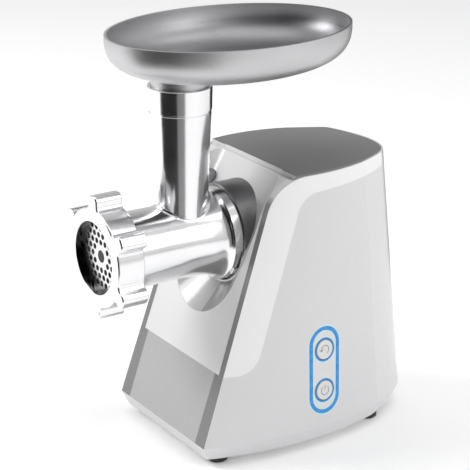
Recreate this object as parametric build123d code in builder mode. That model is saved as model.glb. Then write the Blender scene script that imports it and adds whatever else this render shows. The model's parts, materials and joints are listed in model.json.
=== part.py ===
"""Electric meat grinder, built piece by piece.

Millimetres, +Z up, X across, the grinder head points along -Y.  The origin is on the
table under the middle of the machine.  X = 0 is the plane of symmetry of the housing.
"""
import os
from math import acos, cos, pi, radians, sin, sqrt, tan

from build123d import *

os.makedirs("parts", exist_ok=True)

# ---------------------------------------------------------------- driving dimensions
WALL = 2.6                  # moulded casing wall
GAP = 0.3                   # clearance between bodies that move past each other
FIT = 0.05                  # radial clearance of a shaft in its bush

FOOT_H = 6.0                # rubber feet lift the base plate this far
SKIRT_Z = 17.6              # seam between base plate and casing
TOP_Z = 215.6               # flat top of the casing
PARTING_Z = 71.0            # seam between lower casing and front panel

AXIS_Z = 162.5              # height of the grinder head's axis
RING_FRONT_Y = -131.7       # front of the screw ring, foremost point of the machine
HOPPER_Y = -56.4            # axis of the filling tube

# Housing outline at a level: half width in front, front, bow of the side, crease, back.
SKIRT_OUTLINE = dict(corner=62.5, front=-76.5, bow=12.1, crease=(68.4, 82.5), back=131.7)
TOP_OUTLINE = dict(corner=56.2, front=-8.1, bow=6.0, crease=(53.0, 75.0), back=115.0)
FOOT_OUTLINE = dict(corner=58.4, front=-71.5, bow=12.1, crease=(64.0, 79.5), back=126.5)

REAR_SHOULDER = 0.64        # where the back's round corners are, as a share of the crease's X
REAR_TURN = 0.48            # how far the back turns inwards at the crease
SHOULDER_R = 36.0           # round shoulder of the side cheeks
CHEEK = 6.0                 # width of the cheek's front edge
RECESS_HALF = 50.4          # the upper facade lies back between the cheeks
RECESS_R = 15.0             # its round inner corners
RECESS_FOOT = (-37.3, 131.5)    # (Y, Z) where the recess starts on the lower facade
RECESS_HEAD = (8.0, 215.0)      # (Y, Z) where it ends at the top
BAND = 23.5                 # depth of the white side band behind the cheek's edge

DISH_SLOPE = 0.93           # the dish round the head is a cone
DISH_R0 = 15.2              # its radius at Y = 0
SOCKET_FRONT = -23.7
SOCKET_R = 37.5

BARREL_R = 29.0
BORE_R = 26.0
SPIGOT_R = 30.0
FLANGE_R = 36.0
FLANGE_FRONT, FLANGE_REAR = -31.5, -24.0
SPIGOT_REAR = -8.0
PLATE_R = 31.0              # hole plate of 62 mm, the usual No. 8 size
RING_R = 38.0
RING_LENGTH = 22.0
RING_OPENING = 27.0
WING_TIP_R = 48.0
WING_WIDTH = 12.0
WINGS = 6
COLLAR_R = 34.6

TUBE_TOP_Z = 283.0
TUBE_TOP_R = 24.2
TUBE_SEAM_Z = 264.4
TUBE_FOOT_R = 20.4
TUBE_BORE_R = 18.6
NECK_R = 21.7
NECK_BORE_R = 19.5
NECK_FOOT_Z = 263.0

TRAY_RIM_Z = 320.7
TRAY_FLOOR_Z = 290.6
TRAY_HALF_X = 72.5
TRAY_HALF_Y = 98.5
TRAY_Y = -12.5
TRAY_WALL = 2.0

MODULE = 1.5                # gear tooth module
PRESSURE = radians(20)
BACKLASH = 0.30             # tooth thinning at the pitch circle
OUTPUT_TEETH, IDLER_PINION_TEETH = 54, 14
IDLER_TEETH, MOTOR_PINION_TEETH = 48, 12
IDLER_Z = AXIS_Z - MODULE * (OUTPUT_TEETH + IDLER_PINION_TEETH) / 2
MOTOR_Z = IDLER_Z - MODULE * (IDLER_TEETH + MOTOR_PINION_TEETH) / 2
FRONT_PLATE_Y = 4.0         # front faces of the two gearbox plates
REAR_PLATE_Y = 35.0
PLATE_THICK = 3.0
PLATE_HALF_X = 49.0
PLATE_TOP_Z = 198.0
OUTPUT_SHAFT_R, IDLER_SHAFT_R, MOTOR_SHAFT_R = 8.0, 5.0, 4.0

PANEL_Y, PANEL_Z = 26.0, 62.0       # centre of the button panel on the right side
PANEL_X = 72.9                      # casing surface there
HALO_W, HALO_H, HALO_BAND = 28.4, 70.0, 3.0
BUTTON_R = 7.6
BUTTON_PITCH = 32.8
BUTTON_TRAVEL = 1.5

RELEASE_X, RELEASE_Z = -40.5, 192.5
RELEASE_HALF_W, RELEASE_HALF_H = 6.2, 5.4

RELEASE_PROUD = 7.0
CAP_PROUD, CAP_REAR = 1.1, -8.2     # front and back of a button cap from the panel plane
LIGHT_DEPTH = -2.6
SHANK_R, STUD_R = 9.0, 4.6
TAB_ANGLE = -38.0

SEAM = 0.25                 # visible joint between two mouldings
SEAM_R = 20.0               # round corners of the seam on the side
SEAM_REAR_Z = 204.0         # seam height along the top of the side
LID_INSET = 1.4
LID_THICK = 2.6
LID_CROWN = 1.4
LID_FALL = 4.8                # how far the lid's curve comes down over 130 mm
LID_CROWN_Y = 40.0

BASE_FLOOR_Z = FOOT_H + 3.0
FOOT_R, FOOT_PEG_R = 8.0, 2.5
FOOT_PLACES = [(-51, -57), (51, -57), (-52, 84), (52, 84)]
SCREW_R, SCREW_HEAD_R, SCREW_SINK = 1.6, 3.6, 2.4
SCREW_POST_R, SCREW_POST_H = 4.5, 36.0
SCREW_PLACES = [(-66.5, -18), (66.5, -18), (-63.5, 60), (63.5, 60)]

COUPLING_FRONT, COUPLING_REAR = -20.0, -3.0
COMMUTATOR_R = 9.0
ARMATURE_R, ARMATURE_SLOTS = 18.6, 12

GLAND_R, CORD_R = 6.5, 3.6
GLAND_X, GLAND_Z = 0.0, 38.0

LUGS = 3
LUG_R, LUG_SPAN = 33.0, 30.0        # bayonet lugs on the head's spigot
LUG_Y, LUG_LENGTH = -14.0, 4.0      # front and length of a lug
LUG_ANGLE = 30.0                    # first lug when locked, seen from the front
LOCK_ANGLE = 45.0                   # turn from unlocked to locked
SOCKET_SCREW_RADIUS = 34.3

# ---------------------------------------------------------------- derived lines
LEAN = (TOP_OUTLINE["front"] - SKIRT_OUTLINE["front"]) / (TOP_Z - SKIRT_Z)
NARROWING = (SKIRT_OUTLINE["corner"] - TOP_OUTLINE["corner"]) / (TOP_Z - SKIRT_Z)
RECESS_LEAN = (RECESS_HEAD[0] - RECESS_FOOT[0]) / (RECESS_HEAD[1] - RECESS_FOOT[1])
head_axis = Axis((0, 0, AXIS_Z), (0, 1, 0))
hopper_axis = Axis((0, HOPPER_Y, 0), (0, 0, 1))

recess_length = sqrt(1 + RECESS_LEAN**2)
recess_up = Vector(0, RECESS_LEAN / recess_length, 1 / recess_length)
recess_out = Vector(0, -1 / recess_length, RECESS_LEAN / recess_length)
# Plane across the recess, looking up along it: local +Y points into the machine.
recess_section = Plane(origin=(0, *RECESS_FOOT), x_dir=(1, 0, 0), z_dir=recess_up)

side_lean = (77.4 - 61.0) / (TOP_Z - SKIRT_Z)
panel_plane = Plane(origin=(PANEL_X, PANEL_Y, PANEL_Z), x_dir=(-0.052, 1, -0.045),
                    z_dir=(1, 0.052, side_lean))
panel_out = panel_plane.z_dir
release_y = RECESS_FOOT[0] + RECESS_LEAN * (RELEASE_Z - RECESS_FOOT[1])
release_plane = Plane(origin=(RELEASE_X, release_y, RELEASE_Z), x_dir=(1, 0, 0),
                      z_dir=recess_out)

rear_lean = (TOP_OUTLINE["back"] - SKIRT_OUTLINE["back"]) / (TOP_Z - SKIRT_Z)
gland_plane = Plane(origin=(GLAND_X, SKIRT_OUTLINE["back"] + rear_lean * (GLAND_Z - SKIRT_Z), GLAND_Z),
                    x_dir=(-1, 0, 0), z_dir=(0, 1, -rear_lean))


def facade_y(z):
    """Y of the lower facade, which is also the cheeks' front edge, at height z."""
    return SKIRT_OUTLINE["front"] + LEAN * (z - SKIRT_Z)


def from_axis(vertex):
    """Distance of a sketch's corner from the sketch's origin."""
    return sqrt(vertex.X**2 + vertex.Y**2)


def facing_front(y, z=AXIS_Z):
    """Upright plane across the machine, facing the front, its centre on an axis."""
    return Plane(origin=(0, y, z), x_dir=(1, 0, 0), z_dir=(0, -1, 0))


# ---------------------------------------------------------------- sketch helpers
def housing_outline(level, z, inset=0.0):
    """Housing seen from above: straight front, bowed sides, a crease and a round back."""
    corner, front, back = level["corner"] - inset, level["front"] + inset, level["back"] - inset
    crease = Vector(level["crease"][0] - inset, level["crease"][1] - 0.3 * inset)
    outward = Vector(crease.Y - front, corner - crease.X).normalized() * level["bow"]
    bow = (Vector(corner, front) + crease) / 2 + outward
    shoulder = Vector(REAR_SHOULDER * crease.X, back - 0.2 * (back - crease.Y))
    with BuildSketch(Plane.XY.offset(z)) as sketch:
        with BuildLine():
            Line((-corner, front), (corner, front))
            ThreePointArc((corner, front), (bow.X, bow.Y), (crease.X, crease.Y))
            Spline((crease.X, crease.Y), (shoulder.X, shoulder.Y), (0, back), (-shoulder.X, shoulder.Y),
                   (-crease.X, crease.Y), tangents=[(-REAR_TURN, 1), (-REAR_TURN, -1)])
            ThreePointArc((-crease.X, crease.Y), (-bow.X, bow.Y), (-corner, front))
        make_face()
    return sketch.sketch


def blended(low, high, share):
    """Housing outline between two levels."""
    mix = {key: low[key] + share * (high[key] - low[key]) for key in ("corner", "front", "bow", "back")}
    mix["crease"] = tuple(a + share * (b - a) for a, b in zip(low["crease"], high["crease"]))
    return mix


def outline(points, plane):
    """Closed sketch with straight sides."""
    with BuildSketch(plane) as sketch:
        with BuildLine():
            Polyline(*points, close=True)
        make_face()
    return sketch.sketch


def recess_profile(grow=0.0):
    """Section of the space between the cheeks, with round inner corners."""
    half, reach, corner = RECESS_HALF + grow, 70.0, RECESS_R + grow
    with BuildSketch(recess_section.offset(-70)) as sketch:
        with Locations((0, grow - reach / 2)):
            Rectangle(2 * half, reach)
        fillet(sketch.vertices().group_by(Axis.Y)[-1], corner)
    return sketch.sketch


def dish_profile(grow=0.0):
    """Half section of the conical dish and the hole for the head socket behind it."""
    spread = grow * sqrt(1 + DISH_SLOPE**2)
    mouth, floor = -90.0, SOCKET_FRONT - 2.0 + grow
    points = [(mouth, AXIS_Z), (mouth, AXIS_Z + DISH_R0 - DISH_SLOPE * mouth + spread),
              (floor, AXIS_Z + DISH_R0 - DISH_SLOPE * floor + spread), (floor, AXIS_Z)]
    return outline(points, Plane.YZ)


def ring_sketch(outer, inner, plane):
    """Flat ring."""
    with BuildSketch(plane) as sketch:
        Circle(outer)
        Circle(inner, mode=Mode.SUBTRACT)
    return sketch.sketch


def sector(radius, start, span, plane):
    """Slice of a disc, its angles counted from local +X."""
    with BuildSketch(plane) as sketch:
        with BuildLine():
            rim = CenterArc((0, 0), radius, start, span)
            Line((0, 0), rim @ 0)
            Line(rim @ 1, (0, 0))
        make_face()
    return sketch.sketch


def gear_outline(teeth, tooth_at, bore, plane):
    """Spur gear with involute flanks and one tooth centred at the angle tooth_at."""
    pitch_r = MODULE * teeth / 2
    base_r, tip_r, root_r = pitch_r * cos(PRESSURE), pitch_r + 0.95 * MODULE, pitch_r - 1.25 * MODULE
    half_at_pitch = (pi * MODULE / 2 - BACKLASH) / 2 / pitch_r
    involute_at_pitch = tan(PRESSURE) - PRESSURE

    def half_angle(radius):
        roll = acos(min(1.0, base_r / radius))
        return half_at_pitch + involute_at_pitch - (tan(roll) - roll)

    foot_r = max(base_r, root_r + 0.1)
    radii = [foot_r + (tip_r - foot_r) * step / 3 for step in range(4)]
    flank = [(root_r, half_angle(foot_r))] + [(radius, half_angle(radius)) for radius in radii]
    points = []
    for tooth in range(teeth):
        middle = radians(tooth_at) + 2 * pi * tooth / teeth
        for radius, half in flank:
            points.append((radius * cos(middle - half), radius * sin(middle - half)))
        for radius, half in reversed(flank):
            points.append((radius * cos(middle + half), radius * sin(middle + half)))
    with BuildSketch(plane) as sketch:
        with BuildLine():
            Polyline(*points, close=True)
        make_face()
        if bore:
            Circle(bore, mode=Mode.SUBTRACT)
    return sketch.sketch


def plate_profile(y):
    """Gearbox plate, standing on the floor of the base plate."""
    foot_z = FOOT_H + 3.0
    with BuildSketch(facing_front(y, (PLATE_TOP_Z + foot_z) / 2)) as sketch:
        RectangleRounded(2 * PLATE_HALF_X, PLATE_TOP_Z - foot_z, 10)
    return sketch.sketch


def stadium(width, height, plane):
    """Upright slot shape."""
    with BuildSketch(plane) as sketch:
        SlotOverall(height, width, rotation=90)
    return sketch.sketch


def save(piece, name):
    """Label a finished piece and write its STEP file."""
    piece.part.label = name
    export_step(piece.part, f"parts/{name}.step")


# ---------------------------------------------------------------- housing, as two nested forms
with BuildPart() as housing_form:
    loft(sections=[housing_outline(SKIRT_OUTLINE, SKIRT_Z), housing_outline(TOP_OUTLINE, TOP_Z)],
         ruled=True)
    fillet(housing_form.edges().filter_by(Axis.X).sort_by(Axis.Z)[-1], SHOULDER_R)
    extrude(recess_profile(), amount=220, mode=Mode.SUBTRACT)
    revolve(dish_profile(), axis=head_axis, mode=Mode.SUBTRACT)

ceiling = (TOP_Z - WALL - SKIRT_Z) / (TOP_Z - SKIRT_Z)
with BuildPart() as hollow_form:
    loft(sections=[housing_outline(SKIRT_OUTLINE, SKIRT_Z, WALL),
                   housing_outline(blended(SKIRT_OUTLINE, TOP_OUTLINE, ceiling), TOP_Z - WALL, WALL)],
         ruled=True)
    fillet(hollow_form.edges().filter_by(Axis.X).sort_by(Axis.Z)[-1], SHOULDER_R - WALL)
    revolve(dish_profile(WALL), axis=head_axis, mode=Mode.SUBTRACT)
    extrude(recess_profile(WALL), amount=220, mode=Mode.SUBTRACT)

with BuildPart() as casing_form:
    add(housing_form.part)
    add(hollow_form.part, mode=Mode.SUBTRACT)
    with BuildSketch(facing_front(40)):
        Circle(SOCKET_R + 0.1)
    extrude(amount=70, mode=Mode.SUBTRACT)

# ---------------------------------------------------------------- casing shells
def parting_region():
    """Side view of everything above the seam between the white and the grey casing."""
    ahead = facade_y(PARTING_Z) - 30
    behind = SKIRT_OUTLINE["back"] + 20
    turn_up = facade_y(PARTING_Z) + BAND + 1.0
    turn_back = facade_y(SEAM_REAR_Z) + BAND + 1.0
    with BuildSketch(Plane.YZ.offset(-100)) as sketch:
        with BuildLine():
            FilletPolyline((ahead, PARTING_Z), (turn_up, PARTING_Z), (turn_back, SEAM_REAR_Z - 2),
                           (behind, SEAM_REAR_Z + 3), radius=SEAM_R)
            Polyline((behind, SEAM_REAR_Z + 3), (behind, 240), (ahead, 240), (ahead, PARTING_Z))
        make_face()
    return sketch.sketch


def between_cheeks(y, margin=0.0):
    """Front view of the space between the cheeks, which lean in towards the top."""
    foot_x = SKIRT_OUTLINE["corner"] - CHEEK + margin
    head_x = foot_x - NARROWING * (TOP_Z - SKIRT_Z)
    return outline([(-foot_x, SKIRT_Z - AXIS_Z), (foot_x, SKIRT_Z - AXIS_Z),
                    (head_x, TOP_Z + 1 - AXIS_Z), (-head_x, TOP_Z + 1 - AXIS_Z)], facing_front(y))


lid_bed = housing_outline(TOP_OUTLINE, TOP_Z - LID_THICK, LID_INSET)
release_section = release_plane.offset(-12)

with BuildPart() as front_panel:
    add(casing_form.part)
    extrude(parting_region(), amount=200, mode=Mode.INTERSECT)
    extrude(between_cheeks(RECESS_HEAD[0] + 3, -SEAM), amount=120, mode=Mode.INTERSECT)
    extrude(lid_bed, amount=10, mode=Mode.SUBTRACT)
    with BuildSketch(release_section):
        Ellipse(RELEASE_HALF_W + GAP, RELEASE_HALF_H + GAP)
    extrude(amount=30, mode=Mode.SUBTRACT)
save(front_panel, "front_panel")

with BuildPart() as upper_casing:
    add(casing_form.part)
    extrude(parting_region(), amount=200, mode=Mode.INTERSECT)
    extrude(between_cheeks(RECESS_HEAD[0] + 3 + SEAM), amount=120, mode=Mode.SUBTRACT)
    extrude(lid_bed, amount=10, mode=Mode.SUBTRACT)
save(upper_casing, "upper_casing")

with BuildPart() as lower_casing:
    add(casing_form.part)
    extrude(parting_region(), amount=200, mode=Mode.SUBTRACT)
    extrude(stadium(HALO_W + 0.1, HALO_H + 0.1, panel_plane.offset(-8)), amount=16, mode=Mode.SUBTRACT)
    with BuildSketch(Plane.XY.offset(SKIRT_Z)):
        with Locations(*SCREW_PLACES):
            Circle(SCREW_POST_R)
    extrude(amount=SCREW_POST_H)
    with BuildSketch(Plane.XY.offset(SKIRT_Z)):
        with Locations(*SCREW_PLACES):
            Circle(SCREW_R)
    extrude(amount=SCREW_POST_H - 4, mode=Mode.SUBTRACT)
    with BuildSketch(gland_plane.offset(-20)):
        Circle(GLAND_R)
    extrude(amount=40, mode=Mode.SUBTRACT)
save(lower_casing, "lower_casing")

# The lid is slightly crowned, and its front edge is the top edge of the recess.
lid_low = TOP_Z + LID_CROWN - LID_FALL
with BuildPart() as top_cover:
    extrude(housing_outline(TOP_OUTLINE, TOP_Z - LID_THICK, LID_INSET + 0.1), amount=LID_THICK + LID_CROWN)
    with BuildSketch(Plane.YZ.offset(-100)):
        with BuildLine():
            ThreePointArc((LID_CROWN_Y - 130, lid_low), (LID_CROWN_Y, TOP_Z + LID_CROWN),
                          (LID_CROWN_Y + 130, lid_low))
            Polyline((LID_CROWN_Y + 130, lid_low), (LID_CROWN_Y + 130, TOP_Z - 30),
                     (LID_CROWN_Y - 130, TOP_Z - 30), (LID_CROWN_Y - 130, lid_low))
        make_face()
    extrude(amount=200, mode=Mode.INTERSECT)
    extrude(recess_profile(), amount=220, mode=Mode.SUBTRACT)
    extrude(outline([(-150, -150), (150, -150), (150, RECESS_HEAD[0] - 0.4), (-150, RECESS_HEAD[0] - 0.4)],
                    Plane.XY.offset(TOP_Z - 20)), amount=60, mode=Mode.SUBTRACT)
save(top_cover, "top_cover")

# ---------------------------------------------------------------- base
with BuildPart() as base_plate:
    loft(sections=[housing_outline(FOOT_OUTLINE, FOOT_H), housing_outline(SKIRT_OUTLINE, SKIRT_Z)],
         ruled=True)
    extrude(housing_outline(FOOT_OUTLINE, BASE_FLOOR_Z, WALL), amount=20, mode=Mode.SUBTRACT)
    with BuildSketch(Plane.XY.offset(FOOT_H)):
        with Locations(*SCREW_PLACES):
            Circle(SCREW_POST_R + 0.4)
    extrude(amount=SKIRT_Z - FOOT_H)
    with BuildSketch(Plane.XY.offset(FOOT_H)):
        with Locations(*SCREW_PLACES):
            Circle(SCREW_R)
    extrude(amount=20, mode=Mode.SUBTRACT)
    with BuildSketch(Plane.XY.offset(FOOT_H)):
        with Locations(*SCREW_PLACES):
            Circle(SCREW_HEAD_R)
    extrude(amount=SCREW_SINK, mode=Mode.SUBTRACT)
    with BuildSketch(Plane.XY.offset(FOOT_H)):
        with Locations(*FOOT_PLACES):
            Circle(FOOT_PEG_R)
    extrude(amount=5, mode=Mode.SUBTRACT)
    with BuildSketch(Plane.XY.offset(FOOT_H)):
        with Locations((0, 72)):
            with GridLocations(0, 8, 1, 6):
                SlotOverall(50, 3)
    extrude(amount=5, mode=Mode.SUBTRACT)
save(base_plate, "base_plate")

with BuildPart() as feet:
    with BuildSketch():
        with Locations(*FOOT_PLACES):
            Circle(FOOT_R)
    extrude(amount=FOOT_H, taper=-3)
    chamfer(feet.edges().group_by(Axis.Z)[0], 1.0)
    with BuildSketch(Plane.XY.offset(FOOT_H)):
        with Locations(*FOOT_PLACES):
            Circle(FOOT_PEG_R)
    extrude(amount=5)
save(feet, "feet")

with BuildPart() as base_screws:
    with BuildSketch(Plane.XY.offset(FOOT_H + 0.6)):
        with Locations(*SCREW_PLACES):
            Circle(SCREW_HEAD_R - 0.2)
    extrude(amount=SCREW_SINK - 0.6)
    with BuildSketch(Plane.XY.offset(FOOT_H + SCREW_SINK)):
        with Locations(*SCREW_PLACES):
            Circle(SCREW_R)
    extrude(amount=32)
    with BuildSketch(Plane.XY.offset(FOOT_H + 0.6)):
        with Locations(*SCREW_PLACES):
            Rectangle(4.4, 0.9)
            Rectangle(0.9, 4.4)
    extrude(amount=1.4, mode=Mode.SUBTRACT)
save(base_screws, "base_screws")

with BuildPart() as cable_gland:
    with BuildSketch(gland_plane.offset(-WALL - 2.6)):
        Circle(GLAND_R + 2.5)
    extrude(amount=1.6)
    with BuildSketch(gland_plane.offset(-WALL - 1.0)):
        Circle(GLAND_R - 0.1)
    extrude(amount=WALL + 2.2)
    with BuildSketch(gland_plane.offset(-20)):
        Circle(CORD_R)
    extrude(amount=40, mode=Mode.SUBTRACT)
save(cable_gland, "cable_gland")

# ---------------------------------------------------------------- head socket
# A ring with an undercut groove; three slots let the head's lugs into the groove.
with BuildPart() as head_socket:
    revolve(outline([(SOCKET_FRONT, AXIS_Z + SPIGOT_R + GAP), (SOCKET_FRONT, AXIS_Z + SOCKET_R - 1),
                     (SOCKET_FRONT + 1, AXIS_Z + SOCKET_R), (FRONT_PLATE_Y, AXIS_Z + SOCKET_R),
                     (FRONT_PLATE_Y, AXIS_Z + SPIGOT_R + GAP)], Plane.YZ), axis=head_axis)
    extrude(ring_sketch(LUG_R + GAP, SPIGOT_R - 1, facing_front(LUG_Y + LUG_LENGTH + GAP)),
            amount=LUG_LENGTH + 2 * GAP, mode=Mode.SUBTRACT)
    for lug in range(LUGS):
        start = LUG_ANGLE - LOCK_ANGLE - LUG_SPAN / 2 - 2 + lug * 360 / LUGS
        extrude(sector(LUG_R + GAP, start, LUG_SPAN + 4, facing_front(LUG_Y + LUG_LENGTH + GAP)),
                amount=40, mode=Mode.SUBTRACT)
    with BuildSketch(facing_front(FRONT_PLATE_Y)):
        with PolarLocations(SOCKET_SCREW_RADIUS, 3, start_angle=90):
            Circle(SCREW_R)
    extrude(amount=10, mode=Mode.SUBTRACT)
save(head_socket, "head_socket")

# ---------------------------------------------------------------- gearbox plates and bushes
SHAFTS = [(AXIS_Z, OUTPUT_SHAFT_R), (IDLER_Z, IDLER_SHAFT_R)]
BUSH_WALL = 3.5
PILLARS = [(-43, AXIS_Z + 18), (43, AXIS_Z + 18), (-40, 22), (40, 22)]
PILLAR_R = 4.0

with BuildPart() as gearbox_front_plate:
    extrude(plate_profile(FRONT_PLATE_Y + PLATE_THICK), amount=PLATE_THICK)
    for height, shaft_r in SHAFTS:
        with BuildSketch(facing_front(REAR_PLATE_Y, height)):
            Circle(shaft_r + BUSH_WALL)
        extrude(amount=60, mode=Mode.SUBTRACT)
    with BuildSketch(facing_front(REAR_PLATE_Y, 0)):
        with Locations(*PILLARS):
            Circle(SCREW_R)
    extrude(amount=60, mode=Mode.SUBTRACT)
    with BuildSketch(facing_front(REAR_PLATE_Y)):
        with PolarLocations(SOCKET_SCREW_RADIUS, 3, start_angle=90):
            Circle(SCREW_R)
    extrude(amount=60, mode=Mode.SUBTRACT)
save(gearbox_front_plate, "gearbox_front_plate")

with BuildPart() as gearbox_rear_plate:
    extrude(plate_profile(REAR_PLATE_Y + PLATE_THICK), amount=PLATE_THICK)
    for height, hole_r in [*((z, r + BUSH_WALL) for z, r in SHAFTS), (MOTOR_Z, MOTOR_SHAFT_R + 3)]:
        with BuildSketch(facing_front(REAR_PLATE_Y + 10, height)):
            Circle(hole_r)
        extrude(amount=30, mode=Mode.SUBTRACT)
    with BuildSketch(facing_front(REAR_PLATE_Y + 10, 0)):
        with Locations(*PILLARS):
            Circle(SCREW_R)
    extrude(amount=30, mode=Mode.SUBTRACT)
save(gearbox_rear_plate, "gearbox_rear_plate")

with BuildPart() as gearbox_pillars:
    with BuildSketch(facing_front(REAR_PLATE_Y, 0)):
        with Locations(*PILLARS):
            Circle(PILLAR_R)
            Circle(SCREW_R, mode=Mode.SUBTRACT)
    extrude(amount=REAR_PLATE_Y - FRONT_PLATE_Y - PLATE_THICK)
save(gearbox_pillars, "gearbox_pillars")

# Cap screws: one at each end of every pillar, and three that hold the socket.
with BuildPart() as gearbox_screws:
    for head_y, outward in ((FRONT_PLATE_Y, 1), (REAR_PLATE_Y + PLATE_THICK, -1)):
        with BuildSketch(facing_front(head_y, 0)):
            with Locations(*PILLARS):
                Circle(SCREW_HEAD_R - 0.4)
        extrude(amount=outward * 2.2)
        with BuildSketch(facing_front(head_y, 0)):
            with Locations(*PILLARS):
                Circle(SCREW_R)
        extrude(amount=-outward * 12)
    with BuildSketch(facing_front(FRONT_PLATE_Y + PLATE_THICK)):
        with PolarLocations(SOCKET_SCREW_RADIUS, 3, start_angle=90):
            Circle(SCREW_HEAD_R - 0.4)
    extrude(amount=-2.2)
    with BuildSketch(facing_front(FRONT_PLATE_Y + PLATE_THICK)):
        with PolarLocations(SOCKET_SCREW_RADIUS, 3, start_angle=90):
            Circle(SCREW_R)
    extrude(amount=11)
save(gearbox_screws, "gearbox_screws")

for bush_name, height, shaft_r in (("output_bushes", *SHAFTS[0]), ("idler_bushes", *SHAFTS[1])):
    with BuildPart() as bushes:
        for front in (FRONT_PLATE_Y, REAR_PLATE_Y):
            rim = outline([(front, height + shaft_r + FIT), (front, height + shaft_r + BUSH_WALL),
                           (front + PLATE_THICK, height + shaft_r + BUSH_WALL),
                           (front + PLATE_THICK, height + shaft_r + FIT)], Plane.YZ)
            revolve(rim, axis=Axis((0, 0, height), (0, 1, 0)))
    save(bushes, bush_name)

# ---------------------------------------------------------------- drive: gears and couplings
OUTPUT_GEAR_Y = (10.0, 20.0)
IDLER_GEAR_Y = (24.0, 32.0)
HEX_ACROSS = 14.0

with BuildPart() as drive_coupling:
    revolve(outline([(COUPLING_FRONT, AXIS_Z), (COUPLING_FRONT, AXIS_Z + 14), (COUPLING_FRONT + 1, AXIS_Z + 15),
                     (COUPLING_REAR, AXIS_Z + 15), (COUPLING_REAR, AXIS_Z + OUTPUT_SHAFT_R),
                     (REAR_PLATE_Y + PLATE_THICK + 2, AXIS_Z + OUTPUT_SHAFT_R),
                     (REAR_PLATE_Y + PLATE_THICK + 2, AXIS_Z)], Plane.YZ), axis=head_axis)
    with BuildSketch(facing_front(COUPLING_REAR - 2)):
        RegularPolygon(HEX_ACROSS / 2, 6, major_radius=False)
    extrude(amount=40, mode=Mode.SUBTRACT)
save(drive_coupling, "drive_coupling")

with BuildPart() as output_gear:
    extrude(gear_outline(OUTPUT_TEETH, -90, OUTPUT_SHAFT_R, facing_front(OUTPUT_GEAR_Y[1])),
            amount=OUTPUT_GEAR_Y[1] - OUTPUT_GEAR_Y[0])
    for face in OUTPUT_GEAR_Y:
        extrude(ring_sketch(34, 15, facing_front(face)), amount=3, both=True, mode=Mode.SUBTRACT)
save(output_gear, "output_gear")

with BuildPart() as idler_pinion:
    extrude(gear_outline(IDLER_PINION_TEETH, 90 + 180 / IDLER_PINION_TEETH, IDLER_SHAFT_R,
                         facing_front(OUTPUT_GEAR_Y[1] + 1, IDLER_Z)), amount=12)
save(idler_pinion, "idler_pinion")

with BuildPart() as idler_gear:
    extrude(gear_outline(IDLER_TEETH, -90, IDLER_SHAFT_R, facing_front(IDLER_GEAR_Y[1], IDLER_Z)),
            amount=IDLER_GEAR_Y[1] - IDLER_GEAR_Y[0])
    with BuildSketch(facing_front(IDLER_GEAR_Y[1] + 1, IDLER_Z)):
        with PolarLocations(21, 6):
            Circle(6)
    extrude(amount=12, mode=Mode.SUBTRACT)
save(idler_gear, "idler_gear")

with BuildPart() as idler_shaft:
    with BuildSketch(facing_front(REAR_PLATE_Y + PLATE_THICK + 1, IDLER_Z)):
        Circle(IDLER_SHAFT_R)
    extrude(amount=REAR_PLATE_Y + PLATE_THICK + 2 - FRONT_PLATE_Y)
save(idler_shaft, "idler_shaft")

# ---------------------------------------------------------------- motor
FRAME_SIDE, FRAME_THICK = 62.0, 3.0
FRONT_FRAME_Y, REAR_FRAME_Y = REAR_PLATE_Y + PLATE_THICK, 102.0
STATOR_Y, STATOR_LENGTH, STATOR_BORE_R = 50.0, 36.0, 19.2
COIL_IN_R, COIL_OUT_R, COIL_SPAN = 20.6, 27.0, 110
BEARING_R = 8.0
FAN_Y, FAN_R = 108.0, 26.0
ROD_PLACES = [(-25, -25), (25, -25), (-25, 25), (25, 25)]
ROD_R = 2.0


def frame_plate(y):
    """Square end frame of the motor with its bearing hole and rod holes."""
    with BuildSketch(facing_front(y, MOTOR_Z)) as sketch:
        RectangleRounded(FRAME_SIDE, FRAME_SIDE, 8)
        Circle(BEARING_R, mode=Mode.SUBTRACT)
        with Locations(*ROD_PLACES):
            Circle(ROD_R, mode=Mode.SUBTRACT)
    return sketch.sketch


def coil_section(y):
    """The two field coils, cut across."""
    with BuildSketch(facing_front(y, MOTOR_Z)) as sketch:
        for side in (0, 180):
            add(sector(COIL_OUT_R, side - COIL_SPAN / 2, COIL_SPAN, Plane.XY))
        Circle(COIL_IN_R, mode=Mode.SUBTRACT)
    return sketch.sketch


for frame_name, frame_y in (("motor_front_frame", FRONT_FRAME_Y), ("motor_rear_frame", REAR_FRAME_Y)):
    with BuildPart() as frame:
        extrude(frame_plate(frame_y + FRAME_THICK), amount=FRAME_THICK)
    save(frame, frame_name)

with BuildPart() as motor_bearings:
    for front in (FRONT_FRAME_Y, REAR_FRAME_Y):
        extrude(ring_sketch(BEARING_R, MOTOR_SHAFT_R + FIT, facing_front(front + FRAME_THICK, MOTOR_Z)),
                amount=FRAME_THICK)
save(motor_bearings, "motor_bearings")

with BuildPart() as motor_rods:
    with BuildSketch(facing_front(REAR_FRAME_Y + FRAME_THICK, MOTOR_Z)):
        with Locations(*ROD_PLACES):
            Circle(ROD_R)
    extrude(amount=REAR_FRAME_Y + FRAME_THICK - FRONT_FRAME_Y)
    with BuildSketch(facing_front(REAR_FRAME_Y + FRAME_THICK, MOTOR_Z)):
        with Locations(*ROD_PLACES):
            RegularPolygon(3.6, 6)
    extrude(amount=-2.5)
save(motor_rods, "motor_rods")

with BuildPart() as stator_core:
    with BuildSketch(facing_front(STATOR_Y + STATOR_LENGTH, MOTOR_Z)):
        RectangleRounded(FRAME_SIDE, FRAME_SIDE, 8)
        Circle(STATOR_BORE_R, mode=Mode.SUBTRACT)
        with Locations(*ROD_PLACES):
            Circle(ROD_R, mode=Mode.SUBTRACT)
    extrude(amount=STATOR_LENGTH)
    extrude(coil_section(STATOR_Y + STATOR_LENGTH + 5), amount=STATOR_LENGTH + 10, mode=Mode.SUBTRACT)
save(stator_core, "stator_core")

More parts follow.
